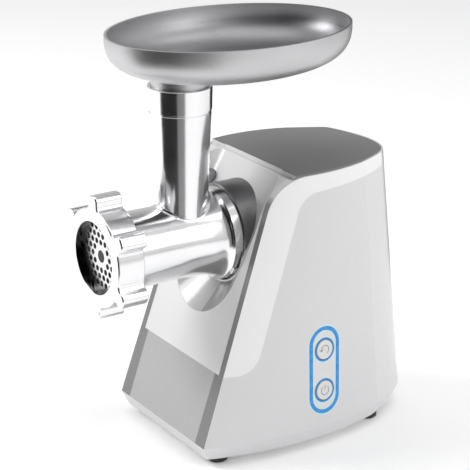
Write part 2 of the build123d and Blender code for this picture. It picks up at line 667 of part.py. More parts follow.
with BuildPart() as field_coils:
    extrude(coil_section(STATOR_Y + STATOR_LENGTH + 5), amount=STATOR_LENGTH + 10)
save(field_coils, "field_coils")

with BuildPart() as brush_holders:
    with BuildSketch(facing_front(REAR_FRAME_Y, MOTOR_Z)):
        for side in (-1, 1):
            with Locations((side * (COMMUTATOR_R + GAP + 7), 0)):
                Rectangle(14, 7)
    extrude(amount=9)
save(brush_holders, "brush_holders")

with BuildPart() as motor_mounts:
    with BuildSketch(Plane.XY.offset(BASE_FLOOR_Z)):
        with Locations((-15, 68), (15, 68)):
            RectangleRounded(12, 18, 2)
    extrude(amount=MOTOR_Z - FRAME_SIDE / 2 - BASE_FLOOR_Z)
save(motor_mounts, "motor_mounts")

with BuildPart() as armature_shaft:
    with BuildSketch(facing_front(FAN_Y + 9, MOTOR_Z)):
        Circle(MOTOR_SHAFT_R)
    extrude(amount=FAN_Y + 9 - IDLER_GEAR_Y[0] + 2)
save(armature_shaft, "armature_shaft")

with BuildPart() as motor_pinion:
    extrude(gear_outline(MOTOR_PINION_TEETH, 90 + 180 / MOTOR_PINION_TEETH, MOTOR_SHAFT_R,
                         facing_front(IDLER_GEAR_Y[1] + 1, MOTOR_Z)), amount=10)
save(motor_pinion, "motor_pinion")

with BuildPart() as armature_core:
    with BuildSketch(facing_front(STATOR_Y + STATOR_LENGTH - 2, MOTOR_Z)):
        Circle(ARMATURE_R)
        Circle(MOTOR_SHAFT_R, mode=Mode.SUBTRACT)
        with PolarLocations(ARMATURE_R - 2, ARMATURE_SLOTS):
            SlotOverall(7, 2.4, mode=Mode.SUBTRACT)
    extrude(amount=STATOR_LENGTH - 4)
save(armature_core, "armature_core")

with BuildPart() as armature_winding:
    for front in (STATOR_Y - 4, STATOR_Y + STATOR_LENGTH - 2):
        extrude(ring_sketch(ARMATURE_R - 1.6, MOTOR_SHAFT_R + 1, facing_front(front + 6, MOTOR_Z)), amount=6)
    fillet(armature_winding.edges().filter_by(GeomType.CIRCLE).filter_by(
        lambda edge: edge.radius > ARMATURE_R - 3), 2.0)
save(armature_winding, "armature_winding")

with BuildPart() as commutator:
    extrude(ring_sketch(COMMUTATOR_R, MOTOR_SHAFT_R, facing_front(REAR_FRAME_Y - 1, MOTOR_Z)), amount=9)
save(commutator, "commutator")

with BuildPart() as cooling_fan:
    extrude(ring_sketch(7, MOTOR_SHAFT_R, facing_front(FAN_Y + 8, MOTOR_Z)), amount=8)
    extrude(ring_sketch(FAN_R, 6.5, facing_front(FAN_Y + 8, MOTOR_Z)), amount=1.6)
    with BuildSketch(facing_front(FAN_Y + 7, MOTOR_Z)):
        with PolarLocations(16, 9):
            Rectangle(19, 1.4, rotation=18)
    extrude(amount=7)
save(cooling_fan, "cooling_fan")

# ---------------------------------------------------------------- grinder head
PLATE_FRONT = RING_FRONT_Y + 6.4
PLATE_LENGTH = 5.0
MOUTH_Y = RING_FRONT_Y + 6.8        # front face of the barrel
CHAMBER_REAR = -112.5               # the knife and plate turn in this wider mouth
REAR_WALL_Y = -31.0

with BuildPart() as grinder_head:
    with BuildSketch(Plane.YZ):
        with BuildLine():
            mouth = Polyline((MOUTH_Y, AXIS_Z), (MOUTH_Y, AXIS_Z + COLLAR_R), (-111.6, AXIS_Z + COLLAR_R),
                             (-109.9, AXIS_Z + BARREL_R + 0.3), (-68, AXIS_Z + BARREL_R))
            flare = Spline(mouth @ 1, (FLANGE_FRONT - 7, AXIS_Z + 31.6), (FLANGE_FRONT, AXIS_Z + FLANGE_R - 0.8),
                           tangents=[(1, 0), (0.5, 1)])
            Polyline(flare @ 1, (FLANGE_FRONT + 0.8, AXIS_Z + FLANGE_R), (FLANGE_REAR, AXIS_Z + FLANGE_R),
                     (FLANGE_REAR, AXIS_Z + SPIGOT_R), (SPIGOT_REAR, AXIS_Z + SPIGOT_R),
                     (SPIGOT_REAR, AXIS_Z), (MOUTH_Y, AXIS_Z))
        make_face()
    revolve(axis=head_axis)
    revolve(outline([(HOPPER_Y, AXIS_Z), (HOPPER_Y + TUBE_FOOT_R, AXIS_Z), (HOPPER_Y + TUBE_FOOT_R, 189),
                     (HOPPER_Y + 23.3, TUBE_SEAM_Z - 0.9), (HOPPER_Y + 22.8, TUBE_SEAM_Z - 0.6),
                     (HOPPER_Y + 22.8, TUBE_SEAM_Z + 0.3), (HOPPER_Y + 23.8, TUBE_SEAM_Z + 0.8),
                     (HOPPER_Y + TUBE_TOP_R, TUBE_TOP_Z - 0.5), (HOPPER_Y + TUBE_TOP_R - 0.5, TUBE_TOP_Z),
                     (HOPPER_Y, TUBE_TOP_Z)], Plane.YZ), axis=hopper_axis)
    saddle = [edge for edge in grinder_head.edges().filter_by_position(Axis.Z, AXIS_Z + 20, AXIS_Z + 31)
              if abs((edge @ 0.5).Y - HOPPER_Y) < 22]
    fillet(saddle, 2.5)
    revolve(outline([(MOUTH_Y, AXIS_Z), (MOUTH_Y, AXIS_Z + PLATE_R + 0.1),
                     (CHAMBER_REAR, AXIS_Z + PLATE_R + 0.1), (CHAMBER_REAR, AXIS_Z + BORE_R),
                     (REAR_WALL_Y, AXIS_Z + BORE_R), (REAR_WALL_Y, AXIS_Z)], Plane.YZ),
            axis=head_axis, mode=Mode.SUBTRACT)
    revolve(outline([(REAR_WALL_Y - 1, AXIS_Z), (REAR_WALL_Y - 1, AXIS_Z + SHANK_R + GAP),
                     (FLANGE_REAR, AXIS_Z + SHANK_R + GAP), (FLANGE_REAR, AXIS_Z + SPIGOT_R - 5),
                     (SPIGOT_REAR + 1, AXIS_Z + SPIGOT_R - 5), (SPIGOT_REAR + 1, AXIS_Z)], Plane.YZ),
            axis=head_axis, mode=Mode.SUBTRACT)
    revolve(outline([(HOPPER_Y, AXIS_Z), (HOPPER_Y + TUBE_BORE_R, AXIS_Z),
                     (HOPPER_Y + TUBE_BORE_R, NECK_FOOT_Z - 0.5), (HOPPER_Y + NECK_R + GAP, NECK_FOOT_Z - 0.5),
                     (HOPPER_Y + NECK_R + GAP, TUBE_TOP_Z + 1), (HOPPER_Y, TUBE_TOP_Z + 1)], Plane.YZ),
            axis=hopper_axis, mode=Mode.SUBTRACT)
    for lug in range(LUGS):
        lug_from = LUG_ANGLE - LUG_SPAN / 2 + lug * 360 / LUGS
        with BuildSketch(facing_front(LUG_Y + LUG_LENGTH)):
            add(sector(LUG_R, lug_from, LUG_SPAN, Plane.XY))
            Circle(SPIGOT_R - 1, mode=Mode.SUBTRACT)
        extrude(amount=LUG_LENGTH)
    # stop tab low on the right of the flange
    with BuildSketch(facing_front(FLANGE_REAR)):
        with PolarLocations(FLANGE_R - 0.6, 1, start_angle=TAB_ANGLE):
            RectangleRounded(3.4, 7, 1)
    extrude(amount=5)
save(grinder_head, "grinder_head")

HOLE_PITCH, HOLE_R = 6.2, 2.2
hole_places = [(HOLE_PITCH * (col + row / 2), HOLE_PITCH * row * sqrt(3) / 2)
               for row in range(-5, 6) for col in range(-7, 8)]
hole_places = [(x, y) for x, y in hole_places if 9.0 < sqrt(x * x + y * y) < RING_OPENING - 1.4]

with BuildPart() as hole_plate:
    extrude(ring_sketch(PLATE_R, STUD_R + 0.15, facing_front(PLATE_FRONT + PLATE_LENGTH)), amount=PLATE_LENGTH)
    with BuildSketch(facing_front(PLATE_FRONT + PLATE_LENGTH + 1)):
        with Locations(*hole_places):
            Circle(HOLE_R)
    extrude(amount=PLATE_LENGTH + 2, mode=Mode.SUBTRACT)
save(hole_plate, "hole_plate")

with BuildPart() as screw_ring:
    with BuildSketch(facing_front(RING_FRONT_Y + RING_LENGTH)) as ring_section:
        Circle(RING_R)
        with PolarLocations((RING_R + WING_TIP_R) / 2 - 4, WINGS, start_angle=90):
            Rectangle(WING_TIP_R - RING_R + 8, WING_WIDTH)
        fillet([v for v in ring_section.vertices() if from_axis(v) < RING_R + 1], 4.0)
        fillet([v for v in ring_section.vertices() if from_axis(v) > WING_TIP_R - 0.5], 4.5)
    extrude(amount=RING_LENGTH)
    fillet(screw_ring.faces().sort_by(Axis.Y)[0].outer_wire().edges(), 1.4)
    fillet(screw_ring.faces().sort_by(Axis.Y)[-1].outer_wire().edges(), 1.0)
    with BuildSketch(facing_front(RING_FRONT_Y + RING_LENGTH)):
        Circle(COLLAR_R + GAP)
    extrude(amount=RING_LENGTH - 6.3, mode=Mode.SUBTRACT)
    with BuildSketch(facing_front(RING_FRONT_Y + RING_LENGTH)):
        Circle(RING_OPENING)
    extrude(amount=RING_LENGTH + 1, mode=Mode.SUBTRACT)
    chamfer(screw_ring.edges().filter_by(GeomType.CIRCLE).filter_by(
        lambda edge: abs(edge.radius - RING_OPENING) < 0.01).sort_by(Axis.Y)[0], 0.8)
save(screw_ring, "screw_ring")

# ---------------------------------------------------------------- auger and knife
FLIGHT_PITCH, FLIGHT_THICK = 24.0, 4.0
FLIGHT_FRONT, FLIGHT_REAR = -110.0, -40.0
CORE_R = 12.0
FLIGHT_R, FLIGHT_FOOT_R = BORE_R - 0.5, 8.5
KNIFE_REAR, KNIFE_FRONT = -113.6, PLATE_FRONT + PLATE_LENGTH + 0.4
KNIFE_R = PLATE_R - 2
STUD_FRONT = PLATE_FRONT + 0.2       # the stud's end lies just inside the plate
KNIFE_SQUARE = 9.6

with BuildPart() as auger:
    revolve(outline([(STUD_FRONT, AXIS_Z), (STUD_FRONT, AXIS_Z + STUD_R - 0.5),
                     (STUD_FRONT + 0.5, AXIS_Z + STUD_R), (KNIFE_FRONT, AXIS_Z + STUD_R),
                     (KNIFE_FRONT, AXIS_Z + KNIFE_SQUARE / 2 - 0.1), (KNIFE_REAR, AXIS_Z + KNIFE_SQUARE / 2 - 0.1),
                     (KNIFE_REAR, AXIS_Z + CORE_R), (-36, AXIS_Z + CORE_R), (-36, AXIS_Z + 20),
                     (-33, AXIS_Z + 20), (-33, AXIS_Z + SHANK_R),
                     (COUPLING_FRONT - 0.5, AXIS_Z + SHANK_R), (COUPLING_FRONT - 0.5, AXIS_Z)], Plane.YZ),
            axis=head_axis)
    with BuildSketch(facing_front(KNIFE_REAR + 1)):
        Rectangle(KNIFE_SQUARE - 0.1, KNIFE_SQUARE - 0.1)
    extrude(amount=KNIFE_REAR - KNIFE_FRONT + 1)
    with BuildSketch(facing_front(COUPLING_REAR - 3)):
        RegularPolygon(HEX_ACROSS / 2 - 0.1, 6, major_radius=False)
    extrude(amount=COUPLING_REAR - 3 - COUPLING_FRONT + 2)
    with BuildLine():
        path = Helix(FLIGHT_PITCH, FLIGHT_REAR - FLIGHT_FRONT, (FLIGHT_FOOT_R + FLIGHT_R) / 2,
                     center=(0, FLIGHT_FRONT, AXIS_Z), direction=(0, 1, 0))
    with BuildSketch(Plane(origin=path @ 0, x_dir=path @ 0 - Vector(0, FLIGHT_FRONT, AXIS_Z),
                           z_dir=path % 0)):
        Rectangle(FLIGHT_R - FLIGHT_FOOT_R, FLIGHT_THICK)
    sweep(path=path, is_frenet=True)
save(auger, "auger")

with BuildPart() as cross_knife:
    with BuildSketch(facing_front(KNIFE_REAR)):
        with PolarLocations(0, 4):
            Polygon((2, -4.5), (KNIFE_R - 1, -5.5), (KNIFE_R - 1, 2.0), (8, 5.5), (2, 5.5), align=None)
        Circle(9)
        Rectangle(KNIFE_SQUARE, KNIFE_SQUARE, mode=Mode.SUBTRACT)
    extrude(amount=KNIFE_REAR - KNIFE_FRONT)
save(cross_knife, "cross_knife")

# ---------------------------------------------------------------- food tray
def tray_section(z, share, inset=0.0):
    """Oval section of the tray at one height."""
    with BuildSketch(Plane.XY.offset(z)) as sketch:
        with Locations((0, TRAY_Y)):
            Ellipse(TRAY_HALF_X * share - inset, TRAY_HALF_Y * share - inset)
    return sketch.sketch


TRAY_DEPTH = TRAY_RIM_Z - TRAY_FLOOR_Z
bowl_levels = [0.0, 0.03, 0.12, 0.32, 0.62, 1.0]


def bowl_share(level):
    """The side of the bowl is round below and steep at the rim."""
    return 0.66 + 0.34 * (1 - (1 - level) ** 3.2) ** 0.62


with BuildPart() as food_tray:
    loft(sections=[tray_section(TRAY_FLOOR_Z + level * TRAY_DEPTH, bowl_share(level)) for level in bowl_levels])
    with BuildSketch(Plane.XY.offset(NECK_FOOT_Z)):
        with Locations((0, HOPPER_Y)):
            Circle(NECK_R)
    extrude(amount=TRAY_FLOOR_Z + TRAY_WALL - NECK_FOOT_Z)
    loft(sections=[tray_section(TRAY_FLOOR_Z + TRAY_WALL + level * TRAY_DEPTH, bowl_share(level), TRAY_WALL)
                   for level in bowl_levels], mode=Mode.SUBTRACT)
    with BuildSketch(Plane.XY.offset(NECK_FOOT_Z)):
        with Locations((0, HOPPER_Y)):
            Circle(NECK_BORE_R)
    extrude(amount=60, mode=Mode.SUBTRACT)
save(food_tray, "food_tray")

# ---------------------------------------------------------------- button panel
BUTTON_PLACES = {"rev_button": (0, BUTTON_PITCH / 2), "power_button": (0, -BUTTON_PITCH / 2)}
LIGHT_OUT_R, LIGHT_IN_R = 9.5, 8.0
PANEL_PROUD = 0.5
FLANGE_FROM, FLANGE_TO = -6.2, -4.2     # back flange of the panel, behind the casing wall
POST_PLACES = [(-11, 0), (11, 0), (-11, 30), (11, 30), (-11, -30), (11, -30)]
BOARD_FROM, BOARD_THICK = -14.6, 1.6

with BuildPart() as halo_ring:
    with BuildSketch(panel_plane.offset(FLANGE_TO)):
        SlotOverall(HALO_H - 0.1, HALO_W - 0.1, rotation=90)
        SlotOverall(HALO_H - 2 * HALO_BAND, HALO_W - 2 * HALO_BAND, rotation=90, mode=Mode.SUBTRACT)
    extrude(amount=PANEL_PROUD - FLANGE_TO)
save(halo_ring, "halo_ring")

with BuildPart() as button_panel:
    extrude(stadium(HALO_W - 2 * HALO_BAND - 0.2, HALO_H - 2 * HALO_BAND - 0.2, panel_plane.offset(FLANGE_TO)),
            amount=PANEL_PROUD - FLANGE_TO - 0.1)
    extrude(stadium(HALO_W + 6, HALO_H + 6, panel_plane.offset(FLANGE_FROM)), amount=FLANGE_TO - FLANGE_FROM)
    with BuildSketch(panel_plane.offset(BOARD_FROM + BOARD_THICK)):
        with Locations(*POST_PLACES):
            Circle(2)
    extrude(amount=FLANGE_FROM - BOARD_FROM - BOARD_THICK)
    with BuildSketch(panel_plane.offset(LIGHT_DEPTH)):
        with Locations(*BUTTON_PLACES.values()):
            Circle(LIGHT_OUT_R)
    extrude(amount=10, mode=Mode.SUBTRACT)
    with BuildSketch(panel_plane.offset(FLANGE_FROM)):
        with Locations(*BUTTON_PLACES.values()):
            Circle(LIGHT_IN_R)
    extrude(amount=10, mode=Mode.SUBTRACT)
save(button_panel, "button_panel")

with BuildPart() as button_lights:
    with BuildSketch(panel_plane.offset(LIGHT_DEPTH)):
        with Locations(*BUTTON_PLACES.values()):
            Circle(LIGHT_OUT_R)
            Circle(LIGHT_IN_R, mode=Mode.SUBTRACT)
    extrude(amount=PANEL_PROUD - LIGHT_DEPTH)
save(button_lights, "button_lights")

for button_name, place in BUTTON_PLACES.items():
    with BuildPart() as button:
        with BuildSketch(panel_plane.offset(CAP_REAR)):
            with Locations(place):
                Circle(BUTTON_R)
        extrude(amount=CAP_PROUD - CAP_REAR)
        fillet(button.faces().sort_by(Axis(panel_plane.origin, panel_out))[-1].edges(), 0.6)
        with BuildSketch(panel_plane.offset(CAP_REAR)):
            with Locations(place):
                Circle(LIGHT_IN_R + 0.8)
        extrude(amount=1.4)
    save(button, button_name)

with BuildPart() as control_board:
    with BuildSketch(panel_plane.offset(BOARD_FROM)):
        RectangleRounded(28, 72, 2)
    extrude(amount=BOARD_THICK)
save(control_board, "control_board")

with BuildPart() as board_switches:
    with BuildSketch(panel_plane.offset(BOARD_FROM + BOARD_THICK)):
        with Locations(*BUTTON_PLACES.values()):
            Rectangle(6, 6)
    extrude(amount=2.0)
    with BuildSketch(panel_plane.offset(BOARD_FROM + BOARD_THICK + 2.0)):
        with Locations(*BUTTON_PLACES.values()):
            Circle(1.75)
    extrude(amount=CAP_REAR - BUTTON_TRAVEL - 0.1 - (BOARD_FROM + BOARD_THICK + 2.0))
save(board_switches, "board_switches")

with BuildPart() as release_button:
    with BuildSketch(release_plane.offset(-3.2)):
        Ellipse(RELEASE_HALF_W, RELEASE_HALF_H)
    extrude(amount=RELEASE_PROUD + 3.2)
    fillet(release_button.faces().sort_by(Axis(release_plane.origin, release_plane.z_dir))[-1].edges(), 1.2)
    with BuildSketch(release_plane.offset(-3.9)):
        Ellipse(RELEASE_HALF_W + 0.9, RELEASE_HALF_H + 0.9)
    extrude(amount=1.2)
save(release_button, "release_button")
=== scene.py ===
"""Looks of the electric meat grinder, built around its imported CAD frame. Metres, +Z up."""
import json
from math import cos, pi, radians, sin

import bmesh
import bpy
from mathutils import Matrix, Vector


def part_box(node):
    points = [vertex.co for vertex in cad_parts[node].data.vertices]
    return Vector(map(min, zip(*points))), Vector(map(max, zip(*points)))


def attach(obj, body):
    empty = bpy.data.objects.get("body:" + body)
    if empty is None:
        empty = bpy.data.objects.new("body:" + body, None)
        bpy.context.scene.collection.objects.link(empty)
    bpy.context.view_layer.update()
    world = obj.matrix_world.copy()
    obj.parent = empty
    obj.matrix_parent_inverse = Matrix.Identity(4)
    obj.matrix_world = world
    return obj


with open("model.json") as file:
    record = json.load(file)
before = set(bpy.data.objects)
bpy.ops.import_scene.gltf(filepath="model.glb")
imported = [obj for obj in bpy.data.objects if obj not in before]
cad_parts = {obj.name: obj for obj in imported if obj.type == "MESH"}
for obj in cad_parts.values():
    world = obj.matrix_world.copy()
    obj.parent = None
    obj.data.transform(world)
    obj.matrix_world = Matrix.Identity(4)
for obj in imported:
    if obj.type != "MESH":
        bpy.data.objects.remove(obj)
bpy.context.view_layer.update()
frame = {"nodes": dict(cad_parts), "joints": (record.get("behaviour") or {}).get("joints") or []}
nodes = frame["nodes"]
MM = 0.001

# ------------------------------------------------------------------ places, from the frame
AXIS_Z = next(j["pos_m"][2] for j in frame["joints"] if j["name"] == "auger_spin")
RING_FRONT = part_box("screw_ring")[0][1]
TRAY_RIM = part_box("food_tray")[1][2]
PANEL_LOW, PANEL_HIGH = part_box("halo_ring")
REV_LOW, REV_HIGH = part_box("rev_button")
POWER_LOW, POWER_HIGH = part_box("power_button")
PRESS_AXIS = next(j["axis"] for j in frame["joints"] if j["name"] == "rev_press")
BUTTON_OUT = -Vector(PRESS_AXIS).normalized()
BUTTON_UP = (REV_LOW + REV_HIGH - POWER_LOW - POWER_HIGH).normalized()
BUTTON_RIGHT = BUTTON_UP.cross(BUTTON_OUT)


# ------------------------------------------------------------------ material helpers
class Shader:
    """Node tree of one material, with short calls for the nodes that it needs."""

    def __init__(self, name):
        self.material = bpy.data.materials.new(name)
        self.material.use_nodes = True
        self.tree = self.material.node_tree
        self.principled = self.tree.nodes["Principled BSDF"]
        coordinates = self.tree.nodes.new("ShaderNodeTexCoord")
        self.place = coordinates.outputs["Object"]

    def set(self, **values):
        for name, value in values.items():
            self.principled.inputs[name.replace("_", " ")].default_value = value

    def link(self, output, name):
        self.tree.links.new(output, self.principled.inputs[name])

    def wire(self, node, inputs):
        for key, value in inputs.items():
            if isinstance(value, bpy.types.NodeSocket):
                self.tree.links.new(value, node.inputs[key])
            else:
                node.inputs[key].default_value = value

    def math(self, operation, *values):
        node = self.tree.nodes.new("ShaderNodeMath")
        node.operation = operation
        self.wire(node, dict(enumerate(values)))
        return node.outputs[0]

    def vector(self, operation, *values):
        node = self.tree.nodes.new("ShaderNodeVectorMath")
        node.operation = operation
        self.wire(node, dict(enumerate(values)))
        return node.outputs["Value" if operation in ("DOT_PRODUCT", "LENGTH") else "Vector"]

    def stretched(self, scale):
        node = self.tree.nodes.new("ShaderNodeMapping")
        self.wire(node, {"Vector": self.place, "Scale": scale})
        return node.outputs[0]

    def noise(self, scale, detail=2.0, rough=0.5, place=None):
        node = self.tree.nodes.new("ShaderNodeTexNoise")
        self.wire(node, {"Vector": place or self.place, "Scale": scale, "Detail": detail,
                         "Roughness": rough})
        return node.outputs["Fac"]

    def steps(self, factor, stops):
        """Colours that change at once at each (position, colour) stop."""
        node = self.tree.nodes.new("ShaderNodeValToRGB")
        node.color_ramp.interpolation = "CONSTANT"
        elements = node.color_ramp.elements
        while len(elements) < len(stops):
            elements.new(0.5)
        for element, (position, color) in zip(elements, stops):
            element.position, element.color = position, (*color, 1.0)
        self.wire(node, {"Fac": factor})
        return node.outputs["Color"]

    def mix(self, factor, first, second):
        node = self.tree.nodes.new("ShaderNodeMix")
        node.data_type = "RGBA"
        self.wire(node, {"Factor": factor})
        for socket, value in ((node.inputs[6], first), (node.inputs[7], second)):
            if isinstance(value, bpy.types.NodeSocket):
                self.tree.links.new(value, socket)
            else:
                socket.default_value = (*value, 1.0)
        return node.outputs[2]

    def span(self, value, low, high, to_low=0.0, to_high=1.0):
        node = self.tree.nodes.new("ShaderNodeMapRange")
        self.wire(node, {"Value": value, "From Min": low, "From Max": high, "To Min": to_low,
                         "To Max": to_high})
        return node.outputs[0]

    def bump(self, height, strength, distance=0.0002):
        node = self.tree.nodes.new("ShaderNodeBump")
        self.wire(node, {"Height": height, "Strength": strength, "Distance": distance})
        self.link(node.outputs[0], "Normal")

    def axes(self):
        node = self.tree.nodes.new("ShaderNodeSeparateXYZ")
        self.wire(node, {0: self.place})
        return node.outputs

    def facing(self, direction):
        """How far the surface faces a direction: 1 straight at it, 0 across it."""
        geometry = self.tree.nodes.new("ShaderNodeNewGeometry")
        return self.vector("DOT_PRODUCT", geometry.outputs["Normal"], tuple(direction))

    def hypotenuse(self, first, second):
        squares = [self.math("MULTIPLY", side, side) for side in (first, second)]
        return self.math("SQRT", self.math("ADD", *squares))


def tinted(color, factor):
    """The colour made lighter or darker."""
    return tuple(min(1.0, channel * factor) for channel in color)


def moulded(name, color, roughness, grain=1400.0, depth=0.05, coat=0.0, shade=None):
    """Moulded plastic: faint flow marks in the colour, fine texture in gloss and surface."""
    s = Shader(name)
    flow = s.noise(9.0, 3.0)
    body = s.mix(flow, tinted(color, 0.97), tinted(color, 1.02))
    s.link(shade(s, body) if shade else body, "Base Color")
    texture = s.noise(grain, 2.0)
    s.link(s.span(texture, 0.3, 0.7, roughness * 0.85, roughness * 1.15), "Roughness")
    s.set(IOR=1.48, Coat_Weight=coat, Coat_Roughness=0.08)
    s.bump(texture, depth)
    return s.material


def turned_metal(name, color, roughness, axis, marks=2600.0, depth=0.06, shade=None):
    """Metal polished on a lathe: fine rings round an axis."""
    s = Shader(name)
    scale = [18.0, 18.0, 18.0]
    scale["XYZ".index(axis)] = marks
    rings = s.noise(1.0, 3.0, 0.6, s.stretched(scale))
    cloud = s.noise(30.0, 3.0)
    body = s.mix(cloud, tinted(color, 0.94), tinted(color, 1.04))
    s.link(shade(s, body) if shade else body, "Base Color")
    s.link(s.span(s.math("ADD", s.math("MULTIPLY", rings, 0.6), s.math("MULTIPLY", cloud, 0.4)),
                  0.3, 0.7, roughness * 0.75, roughness * 1.25), "Roughness")
    s.set(Metallic=1.0)
    s.bump(rings, depth, 0.0001)
    return s.material


def cast_metal(name, color, roughness, grain=700.0, depth=0.15, shade=None):
    """Cast or pressed metal with a fine blasted grain."""
    s = Shader(name)
    texture = s.noise(grain, 4.0, 0.6)
    cloud = s.noise(25.0, 2.0)
    body = s.mix(cloud, tinted(color, 0.9), tinted(color, 1.06))
    s.link(shade(s, body) if shade else body, "Base Color")
    s.link(s.span(texture, 0.3, 0.7, roughness * 0.85, roughness * 1.2), "Roughness")
    s.set(Metallic=1.0)
    s.bump(texture, depth)
    return s.material


# ------------------------------------------------------------------ colours and masks
WHITE, SILVER, LID_GREY = (0.86, 0.86, 0.865), (0.69, 0.69, 0.70), (0.22, 0.22, 0.22)
BRIGHT, SATIN, STEEL = (0.86, 0.86, 0.87), (0.74, 0.74, 0.75), (0.62, 0.62, 0.63)
# Greys of painted shade: the cheeks' front edges, and the lower casing's front face.
EDGE_SHADE_GREY, FRONT_SHADE_GREY = (0.20, 0.20, 0.205), (0.44, 0.44, 0.445)
# Painted shade inside the tray: lighter near the head's front, darker away from it.
BOWL_LIT_GREY, BOWL_SHADE_GREY = (0.62, 0.62, 0.63), (0.24, 0.24, 0.25)
# Near blacks of painted shade in the ring's opening; the first also colours the rear flag's cloth.
SHADE_AND_CLOTH_BLACK, STUD_SHADE_BLACK = (0.03, 0.03, 0.03), (0.05, 0.05, 0.05)
GLOW = (0.55, 0.80, 0.93)

FRONT_FACING = Vector((0, -1, 0.345)).normalized()
EDGE_INNER_X = 50.0 * MM        # the cheeks' front edges lie further out than this
HALO_WIDTH, HALO_STRAIGHT, HALO_BAND = 28.4 * MM, 41.6 * MM, 3.0 * MM
LIGHT_RING_R = 8.75 * MM
GLOW_REACH = 2.2 * MM           # how far the light spills beside a lit ring
LIT_WIDTH = 0.8 * MM            # half the width of a button's lit ring
BOWL_NEAR_Y, BOWL_FAR_Y = -95 * MM, 10 * MM
RIM_DEPTH, RIM_BLEND = 4 * MM, 2 * MM
RING_WALL_R, RING_WALL_BLEND = 27.6 * MM, 0.3 * MM
STUD_REAR_Y = RING_FRONT + 12 * MM
DISH_SLOPE, DISH_R0 = 0.93, 15.2 * MM
DISH_NEAR, DISH_BLEND = 0.2 * MM, 0.2 * MM
# Degrees round the barrel's axis from +X towards +Z, and the grey of painted shade and painted
# reflection that starts there.
DISH_WEDGE_SHADES = [(-180, 0.44), (-113, 0.52), (-80, 0.30), (-35, 0.38), (0, 0.30), (60, 0.40),
               (120, 0.34)]


def panel_place(s, low, high):
    """Place across and up the button panel, from the middle of a box."""
    centre = (Vector(low) + Vector(high)) / 2
    away = s.vector("SUBTRACT", s.place, tuple(centre))
    across = s.vector("DOT_PRODUCT", away, tuple(BUTTON_RIGHT))
    along = s.vector("DOT_PRODUCT", away, tuple(BUTTON_UP))
    return across, along


def panel_distance(s):
    """Distance outside the halo's outer edge, in metres, negative inside it."""
    across, along = panel_place(s, PANEL_LOW, PANEL_HIGH)
    past_straight = s.math("SUBTRACT", s.math("ABSOLUTE", along), HALO_STRAIGHT / 2)
    beyond = s.math("MAXIMUM", past_straight, 0.0)
    return s.math("SUBTRACT", s.hypotenuse(across, beyond), HALO_WIDTH / 2)


def button_distance(s):
    """Distance from the nearer of the two buttons' light rings, in metres."""
    distances = []
    for low, high in ((REV_LOW, REV_HIGH), (POWER_LOW, POWER_HIGH)):
        reach = s.hypotenuse(*panel_place(s, low, high))
        distances.append(s.math("ABSOLUTE", s.math("SUBTRACT", reach, LIGHT_RING_R)))
    return s.math("MINIMUM", *distances)


def axis_distance(s):
    """Distance from the axis of the barrel."""
    flat = s.vector("MULTIPLY", s.vector("SUBTRACT", s.place, (0, 0, AXIS_Z)), (1, 0, 1))
    return s.vector("LENGTH", flat)


def glow_outside(s, body):
    """Pale light that the halo spills on the casing round it, on the button side only."""
    lit = s.span(panel_distance(s), 0.0, GLOW_REACH, 1.0, 0.0)
    button_side = s.math("GREATER_THAN", s.axes()[0], 0.0)
    return s.mix(s.math("MULTIPLY", lit, button_side), body, GLOW)


def glow_inside(s, body):
    """Pale light inside the halo and round the button rings."""
    inner = s.math("ADD", panel_distance(s), HALO_BAND)
    near_halo = s.span(s.math("ABSOLUTE", inner), 0.0, GLOW_REACH, 1.0, 0.0)
    near_ring = s.span(button_distance(s), LIT_WIDTH, GLOW_REACH + LIT_WIDTH / 2, 1.0, 0.0)
    return s.mix(s.math("MAXIMUM", near_halo, near_ring), body, GLOW)


def shaded_front_edge(s, body):
    """The narrow front edge of each cheek is painted as a darker band: painted shade."""
    beside = s.span(s.math("ABSOLUTE", s.axes()[0]), EDGE_INNER_X - 1 * MM, EDGE_INNER_X)
    in_front = s.span(s.facing(FRONT_FACING), 0.93, 0.985)
    return s.mix(s.math("MULTIPLY", in_front, beside), body, EDGE_SHADE_GREY)


def lower_casing_shade(s, body):
    """Painted shade on the front and on its front edges, and the halo's light on the side."""
    in_front = s.span(s.facing(FRONT_FACING), 0.9, 0.97)
    return shaded_front_edge(s, s.mix(in_front, glow_outside(s, body), FRONT_SHADE_GREY))


def shaded_bowl(s, body):
    """Painted shade: the inside of the tray is darker than its outside, and darker away from the head's
    front.
    """
    below_rim = s.span(s.axes()[2], TRAY_RIM - RIM_DEPTH, TRAY_RIM - RIM_DEPTH + RIM_BLEND, 1.0, 0.0)
    inside = s.mix(s.span(s.axes()[1], BOWL_NEAR_Y, BOWL_FAR_Y), BOWL_LIT_GREY, BOWL_SHADE_GREY)
    upward = s.span(s.facing((0, 0, 1)), 0.05, 0.3)
    return s.mix(s.math("MULTIPLY", upward, below_rim), body, inside)


def lid_front_edge(s, body):
    """The lid's front edge takes the white of the casing that it meets."""
    return s.mix(s.span(s.facing((0, -1, 0)), 0.5, 0.7), body, tinted(WHITE, 0.8))


def dish_wedge_shade(s, body):
    """The conical dish round the head is painted in wedges of shade and reflection, as facets would
    show in the light.
    """
    x, y, z = s.axes()
    cone = s.math("MULTIPLY_ADD", y, -DISH_SLOPE, DISH_R0)
    off_cone = s.math("ABSOLUTE", s.math("SUBTRACT", axis_distance(s), cone))
    on_cone = s.span(off_cone, DISH_NEAR, DISH_NEAR + DISH_BLEND, 1.0, 0.0)
    turn = s.span(s.math("ARCTAN2", s.math("SUBTRACT", z, AXIS_Z), x), -pi, pi)
    greys = [((start + 180) / 360, (level, level, level)) for start, level in DISH_WEDGE_SHADES]
    return s.mix(on_cone, body, s.steps(turn, greys))


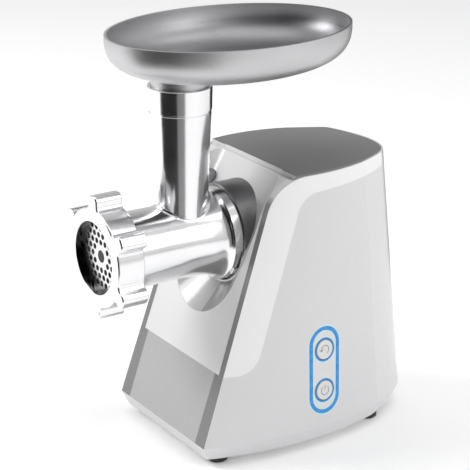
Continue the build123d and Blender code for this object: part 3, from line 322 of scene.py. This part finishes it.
def shaded_inside_ring(s, body):
    """The wall of the ring's opening is painted near black as painted shade, as it only faces the
    plate's hollow.
    """
    within = s.span(axis_distance(s), RING_WALL_R, RING_WALL_R + RING_WALL_BLEND, 1.0, 0.0)
    return s.mix(within, body, SHADE_AND_CLOTH_BLACK)


def shaded_stud(s, body):
    """The stud in the middle of the plate is painted near black: painted shade in the ring's opening.
    """
    return s.mix(s.span(s.axes()[1], STUD_REAR_Y, STUD_REAR_Y + 1 * MM, 1.0, 0.0), body, STUD_SHADE_BLACK)


# ------------------------------------------------------------------ materials of the CAD nodes
def light_guide(name, color, strength):
    """Translucent lit plastic, slightly uneven."""
    s = Shader(name)
    cloud = s.noise(160.0, 2.0)
    tint = s.mix(cloud, tinted(color, 0.92), tinted(color, 1.08))
    s.link(tint, "Base Color")
    s.link(tint, "Emission Color")
    s.link(s.span(cloud, 0.3, 0.7, 0.22, 0.32), "Roughness")
    s.set(Emission_Strength=strength, IOR=1.5)
    return s.material


materials = {
    "front_panel": moulded("front_white", (0.78, 0.78, 0.785), 0.22, coat=0.5, shade=dish_wedge_shade),
    "upper_casing": moulded("casing_white", WHITE, 0.18, coat=0.6, shade=shaded_front_edge),
    "lower_casing": moulded("casing_silver", SILVER, 0.3, coat=0.3, shade=lower_casing_shade),
    "base_plate": moulded("base_silver", SILVER, 0.34),
    "top_cover": moulded("lid_grey", LID_GREY, 0.5, grain=2200.0, depth=0.12, shade=lid_front_edge),
    "button_panel": moulded("panel_silver", (0.72, 0.72, 0.73), 0.3, shade=glow_inside),
    "rev_button": moulded("rev_key_silver", (0.74, 0.74, 0.74), 0.34),
    "power_button": moulded("power_key_silver", (0.74, 0.74, 0.74), 0.34),
    "feet": moulded("foot_rubber", (0.03, 0.03, 0.03), 0.7, grain=2500.0, depth=0.2),
    "cable_gland": moulded("gland_rubber", (0.035, 0.035, 0.035), 0.65, grain=2500.0, depth=0.2),
    "motor_mounts": moulded("mount_rubber", (0.03, 0.03, 0.03), 0.75, grain=2500.0, depth=0.2),
    "board_switches": moulded("switch_black", (0.02, 0.02, 0.02), 0.4),
    "cooling_fan": moulded("fan_black", (0.03, 0.03, 0.035), 0.45),
    "output_gear": moulded("output_acetal", (0.82, 0.80, 0.74), 0.35),
    "idler_gear": moulded("idler_acetal", (0.82, 0.80, 0.74), 0.35),
    "control_board": moulded("board_green", (0.02, 0.16, 0.07), 0.4),
    "halo_ring": light_guide("halo_blue", (0.035, 0.20, 0.46), 0.35),
    "button_lights": light_guide("ring_blue", (0.045, 0.17, 0.36), 0.25),
    "grinder_head": turned_metal("head_aluminium", BRIGHT, 0.17, "Z"),
    "screw_ring": turned_metal("ring_aluminium", BRIGHT, 0.2, "Y", shade=shaded_inside_ring),
    "hole_plate": turned_metal("plate_steel", (0.80, 0.80, 0.80), 0.25, "Y"),
    "food_tray": cast_metal("tray_aluminium", (0.60, 0.60, 0.61), 0.4, shade=shaded_bowl),
    # The socket's dark grey is partly painted shade, matching the head's shadow on the facade beside
    # the flange.
    "head_socket": cast_metal("socket_shaded_aluminium", (0.24, 0.24, 0.245), 0.4),
    "release_button": turned_metal("dark_chrome", (0.30, 0.30, 0.31), 0.2, "Y"),
    "auger": cast_metal("auger_aluminium", SATIN, 0.35, shade=shaded_stud),
    "motor_front_frame": cast_metal("front_frame_aluminium", SATIN, 0.45),
    "motor_rear_frame": cast_metal("rear_frame_aluminium", SATIN, 0.45),
    "stator_core": turned_metal("stator_lamination", (0.28, 0.29, 0.31), 0.4, "Y", marks=900.0),
    "armature_core": turned_metal("armature_lamination", (0.28, 0.29, 0.31), 0.4, "Y", marks=900.0),
    "field_coils": turned_metal("field_copper", (0.62, 0.28, 0.12), 0.35, "Z", marks=700.0),
    "armature_winding": turned_metal("winding_copper", (0.62, 0.28, 0.12), 0.35, "X", marks=700.0),
    "commutator": turned_metal("commutator_copper", (0.66, 0.33, 0.16), 0.25, "Y"),
    "brush_holders": cast_metal("brush_brass", (0.62, 0.45, 0.22), 0.35),
    "output_bushes": cast_metal("output_bronze", (0.55, 0.36, 0.18), 0.45),
    "idler_bushes": cast_metal("idler_bronze", (0.55, 0.36, 0.18), 0.45),
    "motor_bearings": cast_metal("bearing_bronze", (0.55, 0.36, 0.18), 0.45),
}
for name, node in nodes.items():
    material = materials.get(name) or turned_metal(name + "_steel", STEEL, 0.3, "Y")
    node.data.materials.clear()
    node.data.materials.append(material)


# ------------------------------------------------------------------ signs on the two keys
def ribbon(name, path, key, body):
    """Flat raised line on a key's face. Path points are (right, up) in metres from its middle."""
    mesh = bmesh.new()
    middle = key_face(key)
    rings = []
    for index, point in enumerate(path):
        before, after = path[max(index - 1, 0)], path[min(index + 1, len(path) - 1)]
        direction = Vector((after[0] - before[0], after[1] - before[1])).normalized()
        across = Vector((-direction.y, direction.x)) * SIGN_LINE / 2
        ring = []
        for side, lift in ((-1, 0), (-1, 1), (1, 1), (1, 0)):
            spot = Vector(point) + across * side
            ring.append(mesh.verts.new(middle + BUTTON_RIGHT * spot.x + BUTTON_UP * spot.y
                                       + BUTTON_OUT * (SIGN_HEIGHT * lift - SIGN_SINK)))
        rings.append(ring)
    for here, there in zip(rings, rings[1:]):
        for corner in range(4):
            following = (corner + 1) % 4
            mesh.faces.new((here[corner], there[corner], there[following], here[following]))
    mesh.faces.new(rings[0])
    mesh.faces.new(rings[-1])
    bmesh.ops.recalc_face_normals(mesh, faces=mesh.faces)
    data = bpy.data.meshes.new(name)
    mesh.to_mesh(data)
    mesh.free()
    data.materials.append(sign_grey)
    piece = bpy.data.objects.new(name, data)
    bpy.context.collection.objects.link(piece)
    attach(piece, body)


def key_face(key):
    """Middle of a key's front face."""
    places = [vertex.co for vertex in nodes[key].data.vertices]
    foremost = max(place.dot(BUTTON_OUT) for place in places)
    front = [place for place in places if place.dot(BUTTON_OUT) > foremost - FACE_DEPTH]
    return sum(front, Vector()) / len(front)


def arc(radius, start, end):
    """Points of an arc round the middle, with angles in degrees from the right."""
    turn = (end - start) / ARC_STEPS
    angles = [radians(start + turn * step) for step in range(ARC_STEPS + 1)]
    return [(radius * cos(angle), radius * sin(angle)) for angle in angles]


SIGN_HEIGHT, SIGN_SINK, SIGN_LINE = 0.12 * MM, 0.02 * MM, 0.55 * MM
FACE_DEPTH = 0.02 * MM          # points this near a key's front lie on its face
ARC_STEPS = 40
POWER_ARC_R, POWER_BAR = 3.6 * MM, (0.6 * MM, 4.4 * MM)
REVERSE_ARC_R = 3.5 * MM
ARROW_HEAD = [(-5.3 * MM, 0.6 * MM), (-3.4 * MM, -1.3 * MM), (-1.6 * MM, 0.7 * MM)]

sign_grey = moulded("sign_grey", (0.22, 0.25, 0.29), 0.4)
ribbon("power_sign_arc", arc(POWER_ARC_R, 128, 412), "power_button", "power_key")
ribbon("power_sign_bar", [(0, height) for height in POWER_BAR], "power_button", "power_key")
ribbon("reverse_sign_arc", arc(REVERSE_ARC_R, -60, 195), "rev_button", "rev_key")
ribbon("reverse_sign_head", ARROW_HEAD, "rev_button", "rev_key")

# ------------------------------------------------------------------ softened edges
# Width of the bevel on each CAD node's edges, in millimetres.
SOFTENED = {
    "front_panel": 0.5, "upper_casing": 1.2, "lower_casing": 0.5, "top_cover": 0.5, "base_plate": 0.5,
    "food_tray": 0.4, "screw_ring": 0.5, "grinder_head": 0.4, "hole_plate": 0.12, "release_button": 0.3,
    "feet": 0.5, "halo_ring": 0.15, "rev_button": 0.2, "power_button": 0.2,
}
SHARP_ANGLE = radians(32)
for name, width in SOFTENED.items():
    bevel = nodes[name].modifiers.new("softened", "BEVEL")
    bevel.width = width * MM
    bevel.segments = 3
    bevel.limit_method = "ANGLE"
    bevel.angle_limit = SHARP_ANGLE
    bevel.harden_normals = True
    bevel.use_clamp_overlap = True


# ------------------------------------------------------------------ floor, light and camera
def plain_floor():
    """Pale matt floor, which glows a little so that it stays as light as the surround."""
    bpy.ops.mesh.primitive_plane_add(size=60, location=(0, 0, -0.0002))
    floor = bpy.context.object
    floor.name = "floor"
    s = Shader("floor_white")
    cloud = s.noise(0.7, 2.0)
    s.link(s.mix(cloud, (0.91, 0.91, 0.91), (0.93, 0.93, 0.93)), "Base Color")
    s.set(Roughness=0.9, Specular_IOR_Level=0.1, Emission_Color=(1, 1, 1, 1), Emission_Strength=0.14)
    floor.data.materials.append(s.material)


def studio_world():
    """Bright surround with darker upright strips, which polished metal shows as bands."""
    world = bpy.data.worlds.new("studio")
    world.use_nodes = True
    tree = world.node_tree
    background = tree.nodes["Background"]
    coordinates = tree.nodes.new("ShaderNodeTexCoord")
    split = tree.nodes.new("ShaderNodeSeparateXYZ")
    tree.links.new(coordinates.outputs["Generated"], split.inputs[0])
    turn = tree.nodes.new("ShaderNodeMath")
    turn.operation = "ARCTAN2"
    tree.links.new(split.outputs[1], turn.inputs[0])
    tree.links.new(split.outputs[0], turn.inputs[1])
    share = tree.nodes.new("ShaderNodeMapRange")
    tree.links.new(turn.outputs[0], share.inputs["Value"])
    share.inputs["From Min"].default_value = -pi
    share.inputs["From Max"].default_value = pi
    strips = tree.nodes.new("ShaderNodeValToRGB")
    strips.color_ramp.interpolation = "LINEAR"
    elements = strips.color_ramp.elements
    while len(elements) < len(STRIPS):
        elements.new(0.5)
    for element, (bearing, level) in zip(elements, STRIPS):
        element.position = (bearing + 180) / 360
        element.color = (level, level, level, 1.0)
    tree.links.new(share.outputs[0], strips.inputs["Fac"])
    tree.links.new(strips.outputs["Color"], background.inputs["Color"])
    background.inputs["Strength"].default_value = WORLD_STRENGTH
    bpy.context.scene.world = world


def flag(name, first, last, level):
    """Dark curved board beside the object, seen only as a band in polished metal."""
    mesh = bmesh.new()
    columns = []
    for step in range(FLAG_STEPS + 1):
        angle = radians(first + (last - first) * step / FLAG_STEPS)
        x, y = FLAG_RADIUS * cos(angle), FLAG_RADIUS * sin(angle)
        columns.append([mesh.verts.new((x, y, z)) for z in (0.0, FLAG_HEIGHT)])
    for (low, high), (next_low, next_high) in zip(columns, columns[1:]):
        mesh.faces.new((low, next_low, next_high, high))
    data = bpy.data.meshes.new(name)
    mesh.to_mesh(data)
    mesh.free()
    s = Shader(name)
    cloth = s.noise(60.0, 2.0)
    s.link(s.mix(cloth, tinted(level, 0.9), tinted(level, 1.1)), "Base Color")
    s.set(Roughness=0.95, Specular_IOR_Level=0.0)
    data.materials.append(s.material)
    board = bpy.data.objects.new(name, data)
    board.visible_camera = board.visible_diffuse = board.visible_shadow = False
    bpy.context.collection.objects.link(board)


def softbox(name, place, target_z, width, height, power):
    """Rectangular studio lamp that faces the object's axis at a height."""
    light = bpy.data.lights.new(name, "AREA")
    light.shape, light.size, light.size_y, light.energy = "RECTANGLE", width, height, power
    lamp = bpy.data.objects.new(name, light)
    lamp.location = place
    lamp.rotation_euler = (Vector((0, 0, target_z)) - Vector(place)).to_track_quat("-Z", "Y").to_euler()
    bpy.context.collection.objects.link(lamp)


# Degrees round from +X towards +Y, and how bright the surround is there.
STRIPS = [(-180, 1.0), (-120, 1.0), (-104, 0.06), (-60, 0.03), (-38, 0.08), (-14, 0.3), (0, 1.0),
          (84, 1.0), (102, 0.08), (132, 0.05), (148, 0.8), (180, 1.0)]
WORLD_STRENGTH = 0.72
FLAG_RADIUS, FLAG_HEIGHT, FLAG_STEPS = 0.42, 0.75, 12
BLACK_CLOTH, GREY_CLOTH = (0.02, 0.02, 0.02), (0.25, 0.25, 0.25)
CAMERA_PLACE, CAMERA_LOOK = (1.0533, -0.6896, 0.6104), Vector((-0.7895, 0.5108, -0.3404))
SENSOR_MM, LENS_MM = 36.0, 132.6

plain_floor()
studio_world()
flag("front_flag", -100, -46, BLACK_CLOTH)
flag("front_flag_edge", -46, -20, GREY_CLOTH)
flag("rear_flag", 100, 146, SHADE_AND_CLOTH_BLACK)
softbox("key_light", (-1.0, -1.3, 1.3), 0.15, 0.9, 0.9, power=22)
softbox("right_light", (1.8, 0.9, 1.2), 0.15, 1.0, 1.2, power=11)
softbox("top_light", (0.2, 0.2, 2.4), 0.1, 2.2, 2.2, power=24)

camera_data = bpy.data.cameras.new("camera")
camera_data.sensor_width, camera_data.lens = SENSOR_MM, LENS_MM
camera_data.clip_start, camera_data.clip_end = 0.01, 100
camera = bpy.data.objects.new("camera", camera_data)
camera.location = CAMERA_PLACE
camera.rotation_euler = CAMERA_LOOK.to_track_quat("-Z", "Y").to_euler()
bpy.context.collection.objects.link(camera)
bpy.context.scene.camera = camera
bpy.context.scene.view_settings.view_transform = "Standard"
